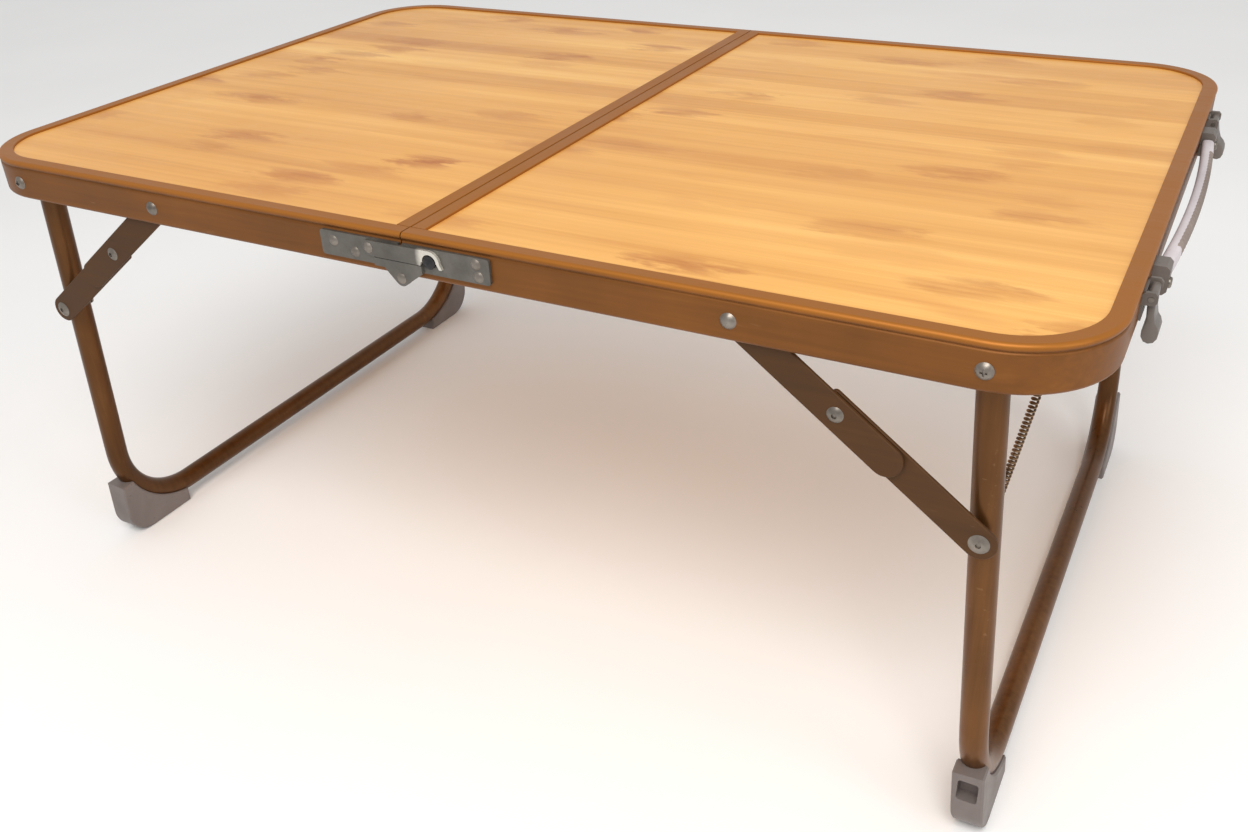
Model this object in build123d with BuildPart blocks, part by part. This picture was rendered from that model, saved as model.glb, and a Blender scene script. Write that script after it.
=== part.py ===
from build123d import *
import os
from math import asin, atan2, cos, degrees, hypot, radians, sin, sqrt

# Folding tray table: two equal tray halves hinged at the middle, each with a U-shaped leg
# frame that folds flat under it, held by a pair of two-link stays.
# X runs along the table with the carrying handle at its +X end, Y across it, +Z up.
# The origin is on the floor under the middle hinge. All sizes are in millimetres.

os.makedirs("parts", exist_ok=True)

# Driving dimensions
table_length = 600.0
table_width = 400.0
table_height = 260.0
rail_height = 20.7
corner_radius = 44.0
lip_width = 8.0
lip_thickness = 1.2
board_thickness = 3.0
tube_radius = 6.35
tube_wall = 1.0
leg_splay = 4.0
leg_bend_radius = 50.0
running_gap = 0.06
far_clasp_swing = 10.0

# Places worked out from them
half_length = table_length / 2
half_width = table_width / 2
rail_bottom = table_height - rail_height
lip_underside = table_height - lip_thickness
board_underside = lip_underside - board_thickness
seam_gap = 0.3
seam_web = 1.4
seam_lip = 7.5

# The rail's wall, as depths in from the table's outer edge
wall_outside = 0.3
wall_inside = 1.9
spacer_start = 2.6

# Pivots, which all lie on one level when the legs are folded
pivot_height = 248.0
leg_pivot_x = 258.0
leg_pivot_radius = 2.5
stay_pivot_x = 158.4
stay_pivot_radius = 2.0
leg_rivet_drop = 79.5
splay_sin = sin(radians(leg_splay))
splay_cos = cos(radians(leg_splay))
leg_rivet_x = leg_pivot_x + leg_rivet_drop * splay_sin
leg_rivet_z = pivot_height - leg_rivet_drop * splay_cos

# The stay's links fold back over each other along the pivots' level
stay_run = leg_rivet_x - stay_pivot_x
stay_fall = leg_rivet_z - pivot_height
stay_span = hypot(stay_run, stay_fall)
stay_angle = degrees(atan2(stay_fall, stay_run))
upper_link_length = (stay_span - (leg_pivot_x - leg_rivet_drop - stay_pivot_x)) / 2
lower_link_length = stay_span - upper_link_length
elbow_x = stay_pivot_x + upper_link_length * cos(radians(stay_angle))
elbow_z = pivot_height + upper_link_length * sin(radians(stay_angle))
link_width = 14.6
link_overrun = 34.0
link_chamfer = 0.35

# Depths of the stay's layers, in from the table's outer edge
upper_link_depth = (3.6, 5.4)
lower_link_depth = (6.4, 8.2)
tube_depth = 17.0
tube_near = tube_depth - tube_radius
tube_far = tube_depth + tube_radius
leg_y = half_width - tube_depth

# The leg frame, in its own tilted plane
leg_centre_height = 12.2
leg_drop = (pivot_height - leg_centre_height) / splay_cos
leg_plane = Plane(
    origin=(leg_pivot_x, 0, pivot_height), x_dir=(0, 1, 0), z_dir=(splay_cos, 0, splay_sin)
)

# Foot caps
foot_half_thickness = 7.3
foot_top_height = 40.0
foot_inner_y = 141.0
foot_wrap = 3.0
foot_corner = 18.0
foot_window = (9.4, 12.0)
foot_window_height = 30.0

# Springs beside the legs
spring_anchor_x = 277.0
spring_anchor_z = 250.0
spring_depth = 30.0
spring_coil_start = 9.0
spring_radius = 1.8
spring_wire = 0.55
spring_pin_radius = 1.34

# Middle hinges, outside the front and back rails
hinge_z = 239.2
hinge_pin_radius = 1.5
hinge_knuckle_radius = 3.8
leaf_bottom = 243.2
leaf_top = 255.4
leaf_end_x = 46.0
inner_leaf_depth = (-1.25, 0.25)
outer_leaf_depth = (-2.85, -1.35)
hook_pivot = (-17.0, 251.4)
roller_centre = (16.5, 249.5)
roller_radius = 3.2
catch_pin_radius = 1.4
leaf_rivet_radius = 1.5
left_leaf_rivets = ((-38.5, 250.8), (-26.5, 247.2))
right_leaf_rivets = ((40.5, 252.2), (41.5, 246.4))

# Carrying handle and clasps on the end rail
handle_pivot = (303.4, 250.4)
handle_half_span = 86.0
handle_drop = 5.4
handle_bow = 3.6
handle_pin_radius = 1.5
handle_screw_y = handle_half_span + 7.4
handle_screw_drop = 3.6
bracket_reach = 3.2
clasp_y = 118.0
clasp_pivot = (303.2, 252.6)
clasp_width = 13.0
clasp_pin_radius = 1.1
screw_radius = 1.2


def level(depth):
    """Upright plane facing the front, this far in from the front edge."""
    return Plane.XZ.offset(half_width - depth)


def headed_pin(x, z, head_radius, head_height, head_face, steps, recess=None):
    """Pin across the table: a domed head, then cylinders given as (radius, end depth).

    The head may have a "cross" recess for a driver or a round "hole", as a hollow rivet has.
    """
    ball = (head_radius**2 + head_height**2) / (2 * head_height)
    half_turn = asin(head_radius / ball) / 2
    crown = head_face - head_height
    dome = (ball * sin(half_turn), crown + ball * (1 - cos(half_turn)))
    corners = [(head_radius, head_face)]
    depth = head_face
    for radius, end in steps:
        corners += [(radius, depth), (radius, end)]
        depth = end
    corners.append((0, depth))
    origin = (x, -half_width, z)
    with BuildPart() as piece:
        with BuildSketch(Plane(origin=origin, x_dir=(1, 0, 0), z_dir=(0, 0, 1))):
            with BuildLine():
                ThreePointArc((0, crown), dome, (head_radius, head_face))
                Polyline(*corners)
                Line((0, depth), (0, crown))
            make_face()
        revolve(axis=Axis(origin, (0, 1, 0)))
        if recess:
            with BuildSketch(level(crown)):
                with Locations((x, z)):
                    if recess == "cross":
                        Rectangle(2.8, 0.8)
                        Rectangle(0.8, 2.8)
                    else:
                        Circle(1.2)
            extrude(amount=-0.9, mode=Mode.SUBTRACT)
    return piece


def washer(x, z, bore, radius, depths):
    """Flat ring on a pin that runs across the table."""
    near, far = depths
    with BuildPart() as piece:
        with BuildSketch(level(near)):
            with Locations((x, z)):
                Circle(radius)
                Circle(bore, mode=Mode.SUBTRACT)
        extrude(amount=near - far)
    return piece


def hex_nut(x, z, bore, across_flats, depths):
    """Hexagonal nut on a pin that runs across the table."""
    near, far = depths
    with BuildPart() as piece:
        with BuildSketch(level(near)):
            with Locations((x, z)):
                RegularPolygon(across_flats / 2, 6, major_radius=False)
                Circle(bore, mode=Mode.SUBTRACT)
        extrude(amount=near - far)
    return piece


def mirrored(piece, about):
    """A mirrored copy of a piece, as a piece of its own."""
    with BuildPart() as copy:
        mirror(piece.part, about=about)
    return copy


def front_and_back(*pieces):
    """The pieces made for the front, with their mirror images at the back."""
    with BuildPart() as group:
        for piece in pieces:
            add(piece.part)
            mirror(piece.part, about=Plane.XZ)
    return group


def tray_rail():
    """Bent rail round three sides of a half: wall, rounded bead, groove and top lip."""
    with BuildPart() as rail:
        with BuildLine(Plane.XY):
            FilletPolyline(
                (seam_gap, -half_width),
                (half_length, -half_width),
                (half_length, half_width),
                (seam_gap, half_width),
                radius=corner_radius,
            )
        profile_plane = Plane(
            origin=(seam_gap, -half_width, 0), x_dir=(0, 1, 0), z_dir=(1, 0, 0)
        )
        bead = 1.9
        groove = 0.9
        groove_z = table_height - 3.8
        with BuildSketch(profile_plane):
            with BuildLine():
                Polyline(
                    (wall_inside, rail_bottom),
                    (wall_inside, lip_underside),
                    (lip_width, lip_underside),
                    (lip_width, table_height - 0.5),
                )
                ThreePointArc(
                    (lip_width, table_height - 0.5),
                    (lip_width - 0.15, table_height - 0.15),
                    (lip_width - 0.5, table_height),
                )
                Line((lip_width - 0.5, table_height), (bead, table_height))
                ThreePointArc(
                    (bead, table_height), (0, table_height - bead), (groove, groove_z + 0.3)
                )
                Line((groove, groove_z + 0.3), (groove, groove_z))
                ThreePointArc(
                    (groove, groove_z),
                    (wall_outside + 0.18, groove_z - 0.5),
                    (wall_outside, groove_z - 1.4),
                )
                Line((wall_outside, groove_z - 1.4), (wall_outside, rail_bottom + 2.2))
                ThreePointArc(
                    (wall_outside, rail_bottom + 2.2),
                    (wall_outside + 0.35, rail_bottom + 0.6),
                    (wall_outside + 1.0, rail_bottom),
                )
                Line((wall_outside + 1.0, rail_bottom), (wall_inside, rail_bottom))
            make_face()
        sweep()
        with BuildSketch(Plane.XZ):
            with Locations((leg_pivot_x, pivot_height)):
                Circle(leg_pivot_radius)
            with Locations((stay_pivot_x, pivot_height)):
                Circle(stay_pivot_radius)
        extrude(amount=half_width, both=True, mode=Mode.SUBTRACT)
    return rail


def seam_rail():
    """Inner rail of a half, beside the middle joint, with its top lip between the rails."""
    with BuildPart() as rail:
        with BuildSketch(Plane.XY.offset(rail_bottom)):
            with Locations((seam_gap, 0)):
                Rectangle(seam_web, 2 * (half_width - wall_inside), align=(Align.MIN, Align.CENTER))
        extrude(amount=lip_underside - rail_bottom)
        with BuildSketch(Plane.XY.offset(lip_underside)):
            with Locations((seam_gap, 0)):
                Rectangle(seam_lip, 2 * (half_width - lip_width), align=(Align.MIN, Align.CENTER))
        extrude(amount=lip_thickness)
        fillet(rail.edges().filter_by(Axis.Y).group_by(Axis.Z)[-1], 0.4)
    return rail


def tray_board():
    """Printed board that lies under the lips of its four rails."""
    gap = 0.3
    start = seam_gap + seam_web + gap
    side = half_width - wall_inside - gap
    with BuildPart() as board:
        with BuildSketch(Plane.XY.offset(board_underside)) as outline:
            with Locations((start, 0)):
                Rectangle(half_length - wall_inside - gap - start, 2 * side,
                          align=(Align.MIN, Align.CENTER))
            fillet(outline.vertices().group_by(Axis.X)[-1], corner_radius - wall_inside - gap)
        extrude(amount=board_thickness)
    return board


def board_clips():
    """Four angle clips that hold the board up, two on the seam rail and two on the end rail."""
    leg, thickness, width = 8.0, 1.0, 18.0
    clip_y = 60.0
    seam_face = seam_gap + seam_web
    end_face = half_length - wall_inside
    with BuildPart() as clips:
        for face, way in ((seam_face, 1), (end_face, -1)):
            with BuildSketch(Plane.XZ.offset(-clip_y - width / 2)):
                with BuildLine():
                    Polyline(
                        (face, board_underside),
                        (face + way * leg, board_underside),
                        (face + way * leg, board_underside - thickness),
                        (face + way * thickness, board_underside - thickness),
                        (face + way * thickness, board_underside - leg),
                        (face, board_underside - leg),
                        close=True,
                    )
                make_face()
            extrude(amount=width)
        mirror(about=Plane.XZ)
    return clips


def leg_frame():
    """Bent tube leg: two uprights and a floor bar, its top ends rounded about the pivots."""
    with BuildPart() as leg:
        with BuildLine(leg_plane) as centre_line:
            FilletPolyline(
                (-leg_y, tube_radius),
                (-leg_y, -leg_drop),
                (leg_y, -leg_drop),
                (leg_y, tube_radius),
                radius=leg_bend_radius,
            )
        with BuildSketch(Plane(origin=centre_line.line @ 0, z_dir=centre_line.line % 0)):
            Circle(tube_radius)
            Circle(tube_radius - tube_wall, mode=Mode.SUBTRACT)
        sweep()
        end_plane = Plane(
            origin=(leg_pivot_x, 0, pivot_height),
            x_dir=(splay_cos, 0, splay_sin),
            z_dir=(0, -1, 0),
        )
        with BuildSketch(end_plane):
            Rectangle(4 * tube_radius, 2 * tube_radius, align=(Align.CENTER, Align.MIN))
            Circle(tube_radius, mode=Mode.SUBTRACT)
        extrude(amount=half_width, both=True, mode=Mode.SUBTRACT)
        with BuildSketch(Plane.XZ):
            with Locations((leg_pivot_x, pivot_height)):
                Circle(leg_pivot_radius + running_gap)
            with Locations((leg_rivet_x, leg_rivet_z)):
                Circle(stay_pivot_radius)
        extrude(amount=half_width, both=True, mode=Mode.SUBTRACT)
    return leg


def foot_cap(has_window=True):
    """Moulded shoe that cradles the front bend from outside, its flat sole on the floor."""
    window_x = leg_pivot_x + (pivot_height - foot_window_height) * splay_sin / splay_cos
    outer_y = -leg_y - foot_half_thickness
    bend_y = -leg_y + leg_bend_radius
    bend_v = -leg_drop + leg_bend_radius
    inside = leg_bend_radius + foot_wrap
    top_v = -(pivot_height - foot_top_height) / splay_cos
    sole_v = -pivot_height / splay_cos - 2.0
    top_reach = sqrt(inside**2 - (bend_v - top_v) ** 2)
    inner_end = (-foot_inner_y, bend_v - sqrt(inside**2 - (bend_y + foot_inner_y) ** 2))
    bend_turn = radians(55)
    arc_middle = (bend_y - inside * cos(bend_turn), bend_v - inside * sin(bend_turn))
    with BuildPart() as foot:
        with BuildSketch(leg_plane.offset(-foot_half_thickness)):
            with BuildLine():
                Polyline(
                    (bend_y - top_reach, top_v),
                    (outer_y, top_v),
                    (outer_y, sole_v),
                    (-foot_inner_y, sole_v),
                    inner_end,
                )
                ThreePointArc(inner_end, arc_middle, (bend_y - top_reach, top_v))
            make_face()
        extrude(amount=2 * foot_half_thickness)
        split(bisect_by=Plane.XY, keep=Keep.TOP)
        lower_front = foot.edges().filter_by(lambda edge: edge.center().Z < 1).sort_by(Axis.Y)[0]
        fillet(lower_front, foot_corner)
        ends = foot.faces().sort_by(Axis((0, 0, 0), tuple(leg_plane.z_dir)))
        chamfer(ends[0].outer_wire().edges() + ends[-1].outer_wire().edges(), 0.8)
        with BuildLine(leg_plane) as tube_line:
            FilletPolyline(
                (-leg_y, -leg_drop + 1.5 * leg_bend_radius),
                (-leg_y, -leg_drop),
                (0, -leg_drop),
                radius=leg_bend_radius,
            )
        with BuildSketch(Plane(origin=tube_line.line @ 0, z_dir=tube_line.line % 0)):
            Circle(tube_radius)
        sweep(mode=Mode.SUBTRACT)
        if has_window:
            with BuildSketch(level(0)):
                with Locations((window_x, foot_window_height)):
                    RectangleRounded(*foot_window, 1.5)
            extrude(amount=-16, mode=Mode.SUBTRACT)
    return foot


def upper_link():
    """Front stay link, from the rail past the elbow to its rounded free end."""
    near, far = upper_link_depth
    plane = Plane(
        origin=(stay_pivot_x, -half_width + near, pivot_height),
        x_dir=(stay_run, 0, stay_fall),
        z_dir=(0, -1, 0),
    )
    reach = upper_link_length + link_overrun - link_width / 2
    with BuildPart() as link:
        with BuildSketch(plane):
            with Locations((reach / 2, 0)):
                SlotCenterToCenter(reach, link_width)
        extrude(amount=near - far)
        faces = link.faces().sort_by(Axis.Y)
        chamfer(faces[0].outer_wire().edges() + faces[-1].outer_wire().edges(), link_chamfer)
        with BuildSketch(plane):
            Circle(stay_pivot_radius + running_gap)
            with Locations((upper_link_length, 0)):
                Circle(stay_pivot_radius)
        extrude(amount=near - far, mode=Mode.SUBTRACT)
    return link


def lower_link():
    """Rear stay link, from the leg's rivet to the elbow, with a squared end there."""
    near, far = lower_link_depth
    plane = Plane(
        origin=(leg_rivet_x, -half_width + near, leg_rivet_z),
        x_dir=(-stay_run, 0, -stay_fall),
        z_dir=(0, -1, 0),
    )
    end_corner = 2.0
    with BuildPart() as link:
        with BuildSketch(plane):
            with Locations((lower_link_length / 2, 0)):
                SlotCenterToCenter(lower_link_length, link_width)
            with Locations((lower_link_length, 0)):
                RectangleRounded(link_width, link_width, end_corner)
        extrude(amount=near - far)
        faces = link.faces().sort_by(Axis.Y)
        chamfer(faces[0].outer_wire().edges() + faces[-1].outer_wire().edges(), link_chamfer)
        with BuildSketch(plane):
            Circle(stay_pivot_radius + running_gap)
            with Locations((lower_link_length, 0)):
                Circle(stay_pivot_radius)
        extrude(amount=near - far, mode=Mode.SUBTRACT)
    return link


def leg_rivets():
    """Rivets from the lower links through the leg; the front one runs on to hold the spring."""
    link_and_tube = [
        (stay_pivot_radius, lower_link_depth[1] + 0.1),
        (4.4, tube_near),
        (stay_pivot_radius, tube_far),
        (3.6, tube_far + 1.2),
    ]
    spring_tail = [(spring_pin_radius, spring_depth + 1.4), (2.6, spring_depth + 2.4)]
    place = (leg_rivet_x, leg_rivet_z, 4.4, 1.4, lower_link_depth[0] - 0.1)
    with BuildPart() as rivets:
        add(headed_pin(*place, link_and_tube + spring_tail, "hole").part)
        mirror(headed_pin(*place, link_and_tube, "hole").part, about=Plane.XZ)
    return rivets


def leg_spring():
    """Closed coil spring beside a leg, with a straight wire and an eye at each end."""
    eye_hole = spring_pin_radius + running_gap
    eye_wire = 0.7
    run = leg_rivet_x - spring_anchor_x
    fall = leg_rivet_z - spring_anchor_z
    span = hypot(run, fall)
    plane = Plane(
        origin=(spring_anchor_x, -half_width + spring_depth, spring_anchor_z),
        x_dir=(0, 1, 0),
        z_dir=(run, 0, fall),
    )
    with BuildPart() as spring:
        with BuildSketch(plane.offset(spring_coil_start)):
            Circle(spring_radius)
        extrude(amount=span - 2 * spring_coil_start)
        with BuildSketch(plane.offset(eye_hole + eye_wire)):
            Circle(spring_wire)
        extrude(amount=span - 2 * (eye_hole + eye_wire))
        with BuildSketch(level(spring_depth - eye_wire)):
            with Locations((spring_anchor_x, spring_anchor_z), (leg_rivet_x, leg_rivet_z)):
                Circle(eye_hole + 2 * eye_wire)
                Circle(eye_hole, mode=Mode.SUBTRACT)
        extrude(amount=-2 * eye_wire)
    return spring


def spring_anchor():
    """Small plate screwed up under the board, with the pin that holds the spring's eye."""
    base = 1.2
    with BuildPart() as anchor:
        with BuildSketch(Plane.XY.offset(board_underside)):
            with Locations((spring_anchor_x, -half_width + spring_depth - 1)):
                RectangleRounded(12, 14, 2)
        extrude(amount=-base)
        with BuildSketch(level(spring_depth - 4.5)):
            with Locations((spring_anchor_x, board_underside - base)):
                Rectangle(6, 4, align=(Align.CENTER, Align.MAX))
            with Locations((spring_anchor_x, spring_anchor_z)):
                Circle(3)
        extrude(amount=-1.5)
        with BuildSketch(level(spring_depth - 3)):
            with Locations((spring_anchor_x, spring_anchor_z)):
                Circle(spring_pin_radius)
        extrude(amount=-4.2)
    return anchor


def left_leaf():
    """Leaf on the left half: plate on the rail, stepped out to a knuckle over the joint."""
    step_x = -14.5
    with BuildPart() as leaf:
        with BuildSketch(level(inner_leaf_depth[1])) as base:
            with Locations((-leaf_end_x, leaf_bottom)):
                Rectangle(leaf_end_x - 1, leaf_top - leaf_bottom, align=Align.MIN)
            fillet(base.vertices().group_by(Axis.X)[0], 1.5)
        extrude(amount=inner_leaf_depth[1] - inner_leaf_depth[0])
        with BuildSketch(level(inner_leaf_depth[0])):
            with Locations((step_x, leaf_bottom)):
                Rectangle(4.5, 3.9, align=Align.MIN)
        extrude(amount=inner_leaf_depth[0] - outer_leaf_depth[1])
        with BuildSketch(level(outer_leaf_depth[1])):
            with BuildLine():
                Polyline(
                    (step_x, leaf_bottom),
                    (step_x, leaf_bottom + 3.9),
                    (12, leaf_bottom + 3.9),
                    (12, leaf_bottom),
                    (3, hinge_z - 2.4),
                    (-3, hinge_z - 2.4),
                    (-9, leaf_bottom),
                    close=True,
                )
            make_face()
            with Locations((0, hinge_z)):
                Circle(hinge_knuckle_radius)
        extrude(amount=outer_leaf_depth[1] - outer_leaf_depth[0])
        with BuildSketch(level(0)):
            with Locations((0, hinge_z)):
                Circle(hinge_pin_radius + running_gap)
            with Locations(*left_leaf_rivets):
                Circle(leaf_rivet_radius)
            with Locations(hook_pivot):
                Circle(catch_pin_radius)
        extrude(amount=5, both=True, mode=Mode.SUBTRACT)
    return leaf


def right_leaf():
    """Leaf on the right half: flat plate with its knuckle behind the other leaf's."""
    with BuildPart() as leaf:
        with BuildSketch(level(inner_leaf_depth[1])) as base:
            with Locations((1, leaf_bottom)):
                Rectangle(leaf_end_x + 0.5, leaf_top - leaf_bottom, align=Align.MIN)
            fillet(base.vertices().group_by(Axis.X)[-1], 1.5)
            with BuildLine():
                Polyline(
                    (1, leaf_bottom + 1),
                    (1, hinge_z),
                    (3, hinge_z - 2),
                    (11, leaf_bottom),
                    (11, leaf_bottom + 1),
                    close=True,
                )
            make_face()
            with Locations((0, hinge_z)):
                Circle(hinge_knuckle_radius)
        extrude(amount=inner_leaf_depth[1] - inner_leaf_depth[0])
        with BuildSketch(level(0)):
            with Locations((0, hinge_z)):
                Circle(hinge_pin_radius)
            with Locations(*right_leaf_rivets):
                Circle(leaf_rivet_radius)
            with Locations(roller_centre):
                Circle(catch_pin_radius)
        extrude(amount=5, both=True, mode=Mode.SUBTRACT)
    return leaf


def hook_lever():
    """Catch lever on the left leaf, whose end curls over the roller on the right leaf."""
    pivot_x, pivot_z = hook_pivot
    roller_x, roller_z = roller_centre
    clear = roller_radius + 0.55
    hook_outer = roller_radius + 2.3
    bottom = leaf_bottom + 4.2
    lip_drop = 2.6
    with BuildPart() as lever:
        with BuildSketch(level(outer_leaf_depth[1])):
            with Locations((roller_x, roller_z)):
                Circle(hook_outer)
            with Locations((roller_x, roller_z - 0.2)):
                Rectangle(2 * hook_outer, 2 * hook_outer, align=(Align.CENTER, Align.MAX),
                          mode=Mode.SUBTRACT)
            with Locations((pivot_x, pivot_z)):
                Circle(3.5)
            with BuildLine():
                Polyline(
                    (pivot_x, bottom + 0.5),
                    (pivot_x, pivot_z + 3.5),
                    (roller_x, roller_z + hook_outer),
                    (roller_x, roller_z),
                    (roller_x - clear - 0.6, roller_z),
                    (roller_x - clear - 1.2, bottom),
                    (pivot_x + 4, bottom),
                    close=True,
                )
            make_face()
            with Locations((roller_x, roller_z)):
                Circle(clear, mode=Mode.SUBTRACT)
            with BuildLine():
                Polyline(
                    (roller_x + clear + 0.1, roller_z),
                    (roller_x + hook_outer, roller_z),
                    (roller_x + hook_outer + 1.2, roller_z - lip_drop),
                    (roller_x + clear + 1.4, roller_z - lip_drop),
                    close=True,
                )
            make_face()
        extrude(amount=outer_leaf_depth[1] - outer_leaf_depth[0])
        with BuildSketch(level(0)):
            with Locations((pivot_x, pivot_z)):
                Circle(catch_pin_radius + running_gap)
        extrude(amount=5, both=True, mode=Mode.SUBTRACT)
    return lever


def handle_grip():
    """Moulded grip bar, bowed outward at the middle, with a blind pin hole in each end."""
    x, z = handle_pivot
    back, front = x - 3.0, x + 3.0
    low, high = z - handle_drop, z + 1.8
    with BuildPart() as grip:
        with BuildSketch(Plane.XY.offset(low)):
            with BuildLine():
                ThreePointArc(
                    (back, -handle_half_span), (back + handle_bow, 0), (back, handle_half_span)
                )
                Line((back, handle_half_span), (front, handle_half_span))
                ThreePointArc(
                    (front, handle_half_span), (front + handle_bow, 0), (front, -handle_half_span)
                )
                Line((front, -handle_half_span), (back, -handle_half_span))
            make_face()
        extrude(amount=high - low)
        fillet(grip.faces().sort_by(Axis.X)[-1].edges(), 1.8)
        for side in (-1, 1):
            with BuildSketch(Plane.XZ.offset(side * (handle_half_span - 8))):
                with Locations((x, z)):
                    Circle(handle_pin_radius + running_gap)
            extrude(amount=side * 10, mode=Mode.SUBTRACT)
    return grip


def handle_bracket():
    """Front bracket of the handle, a block on the end rail that carries the pin."""
    x, z = handle_pivot
    wall = half_length - wall_outside
    outline = ((wall, z - 8), (x + 1.6, z - 8), (x + bracket_reach, z - 6.4),
               (x + bracket_reach, z + 2.8), (x + 1.6, z + 4.4), (wall, z + 4.4))
    with BuildPart() as bracket:
        with BuildSketch(Plane.XZ.offset(handle_half_span + 0.4)):
            with BuildLine():
                Polyline(*outline, close=True)
            make_face()
        extrude(amount=11)
        fillet(bracket.edges().filter_by(Axis.Y).group_by(Axis.X)[-1], 0.8)
        with BuildSketch(Plane.XZ):
            with Locations((x, z)):
                Circle(handle_pin_radius)
        extrude(amount=handle_half_span + 7, mode=Mode.SUBTRACT)
        with BuildSketch(Plane.YZ.offset(half_length - 1)):
            with Locations((-handle_screw_y, z - handle_screw_drop)):
                Circle(screw_radius)
        extrude(amount=12, mode=Mode.SUBTRACT)
    return bracket


def handle_pin():
    """Pin from the front bracket into the end of the grip."""
    x, z = handle_pivot
    with BuildPart() as pin:
        with BuildSketch(Plane.XZ.offset(handle_half_span - 7)):
            with Locations((x, z)):
                Circle(handle_pin_radius)
        extrude(amount=14)
    return pin


def rail_screw(y, z, start, head_start):
    """Pan-head screw driven into the end rail along X."""
    head_height = 1.2
    with BuildPart() as screw:
        with BuildSketch(Plane.YZ.offset(start)):
            with Locations((y, z)):
                Circle(screw_radius)
        extrude(amount=head_start - start)
        with BuildSketch(Plane.YZ.offset(head_start)):
            with Locations((y, z)):
                Circle(2 * screw_radius)
        extrude(amount=head_height)
        fillet(screw.faces().sort_by(Axis.X)[-1].edges(), 0.9)
        with BuildSketch(Plane.YZ.offset(head_start + head_height)):
            with Locations((y, z)):
                Rectangle(3.0, 0.6)
                Rectangle(0.6, 3.0)
        extrude(amount=-0.6, mode=Mode.SUBTRACT)
    return screw


def clasp_base():
    """Front clasp's base: a plate on the end rail with two ears for the lever's pin."""
    x, z = clasp_pivot
    wall = half_length - wall_outside
    ear = 1.6
    plate_outline = ((wall, z - 9.4), (wall + 1.1, z - 9.4), (wall + 1.1, z + 1.8), (wall, z + 1.8))
    ear_outline = ((wall, z - 2.6), (x + 1.4, z - 2.6), (x + 2.4, z - 1.2), (x + 2.4, z + 1.4),
                   (x + 1.2, z + 2.8), (wall + 1, z + 2.8), (wall, z + 1.8))
    side = clasp_width / 2 + 0.3
    with BuildPart() as base:
        with BuildSketch(Plane.XZ.offset(clasp_y - side - ear)):
            with BuildLine():
                Polyline(*plate_outline, close=True)
            make_face()
        extrude(amount=2 * (side + ear))
        for start in (clasp_y - side - ear, clasp_y + side):
            with BuildSketch(Plane.XZ.offset(start)):
                with BuildLine():
                    Polyline(*ear_outline, close=True)
                make_face()
            extrude(amount=ear)
        with BuildSketch(Plane.XZ.offset(clasp_y)):
            with Locations((x, z)):
                Circle(clasp_pin_radius)
        extrude(amount=12, both=True, mode=Mode.SUBTRACT)
    return base


def clasp_lever(swing=0.0):
    """Front clasp's lever: a thin tongue from the pin down to a rounded thumb bulb."""
    x, z = clasp_pivot
    tilt = radians(swing)
    plane = Plane(
        origin=(x, -clasp_y, z), x_dir=(cos(tilt), 0, sin(tilt)), z_dir=(0, -1, 0)
    )
    half = clasp_width / 2
    with BuildPart() as lever:
        with BuildSketch(plane.offset(-half)):
            Circle(1.9)
            with BuildLine():
                Polyline((-1.6, 0), (1.6, 0), (2.4, -12), (-0.6, -12), close=True)
            make_face()
            with Locations((1.7, -15.2)):
                Ellipse(3.3, 4.6)
        extrude(amount=clasp_width)
        with BuildSketch(plane):
            Circle(clasp_pin_radius + running_gap)
        extrude(amount=half + 1, both=True, mode=Mode.SUBTRACT)
    return lever


def clasp_pin():
    """Pin through the front clasp's ears and lever."""
    x, z = clasp_pivot
    reach = clasp_width / 2 + 2.2
    with BuildPart() as pin:
        with BuildSketch(Plane.XZ.offset(clasp_y)):
            with Locations((x, z)):
                Circle(clasp_pin_radius)
        extrude(amount=reach, both=True)
    return pin


def clasp_keeper():
    """Front keeper on the left end rail: a small plate with a nose for a clasp."""
    wall = half_length - wall_outside
    low, high = 243.0, 254.0
    outline = ((-wall, low), (-wall, high), (-wall - 1.2, high), (-wall - 1.2, low + 6.5),
               (-wall - 3.6, low + 5.0), (-wall - 3.6, low + 3.2), (-wall - 1.2, low + 2.6),
               (-wall - 1.2, low))
    with BuildPart() as keeper:
        with BuildSketch(Plane.XZ.offset(clasp_y - clasp_width / 2)):
            with BuildLine():
                Polyline(*outline, close=True)
            make_face()
        extrude(amount=clasp_width)
    return keeper


# Right half: tray, leg frame, stays and springs
right = {}
right["rail"] = tray_rail()
right["seam_rail"] = seam_rail()
right["board"] = tray_board()
right["board_clips"] = board_clips()
right["leg_bolts"] = front_and_back(
    headed_pin(
        leg_pivot_x, pivot_height, 3.6, 1.8, wall_outside, [(leg_pivot_radius, 28.0)], "cross"
    )
)
right["leg_spacers"] = front_and_back(
    washer(leg_pivot_x, pivot_height, leg_pivot_radius, 5.0, (spacer_start, tube_near - 0.1))
)
right["leg_nuts"] = front_and_back(
    hex_nut(leg_pivot_x, pivot_height, leg_pivot_radius, 8.0, (tube_far + 0.15, 27.0))
)
right["leg"] = leg_frame()
right["front_foot"] = foot_cap()
right["back_foot"] = mirrored(foot_cap(has_window=False), Plane.XZ)
right["front_upper_link"] = upper_link()
right["back_upper_link"] = mirrored(right["front_upper_link"], Plane.XZ)
right["front_lower_link"] = lower_link()
right["back_lower_link"] = mirrored(right["front_lower_link"], Plane.XZ)
right["stay_rail_rivets"] = front_and_back(
    headed_pin(
        stay_pivot_x,
        pivot_height,
        3.6,
        1.8,
        wall_outside,
        [
            (stay_pivot_radius, wall_inside),
            (4.2, upper_link_depth[0] - 0.1),
            (stay_pivot_radius, upper_link_depth[1] + 0.1),
            (3.6, 6.15),
        ],
    )
)
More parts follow.
